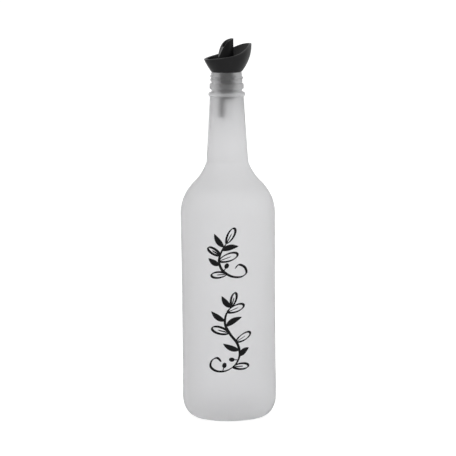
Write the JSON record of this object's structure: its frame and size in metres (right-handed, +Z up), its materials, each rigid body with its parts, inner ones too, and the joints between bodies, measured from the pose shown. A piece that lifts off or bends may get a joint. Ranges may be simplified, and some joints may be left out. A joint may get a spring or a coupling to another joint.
{
  "type": "oil and vinegar bottle",
  "caption": "Tall round frosted glass bottle with a screw finish, topped by a black leaf-shaped drip collar with a slant-cut pouring tube, plug and air tube.",
  "frame": {"origin": "middle of the base, on the surface that the bottle stands on", "axes": "+Z up along the bottle, +X towards the pouring lip"},
  "size_m": [0.0776, 0.0776, 0.3117],
  "materials": {
    "frosted_glass": "satin frosted outside, clear inside",
    "black_plastic": "moulded, semi-matt with a soft sheen",
    "soft_black_plastic": "soft moulded, matt",
    "tube_plastic": "extruded, satin"
  },
  "bodies": {
    "root": {"bottle": "frosted_glass", "pourer_head": "black_plastic", "stopper_plug": "soft_black_plastic", "air_tube": "tube_plastic"}
  },
  "joints": []
}
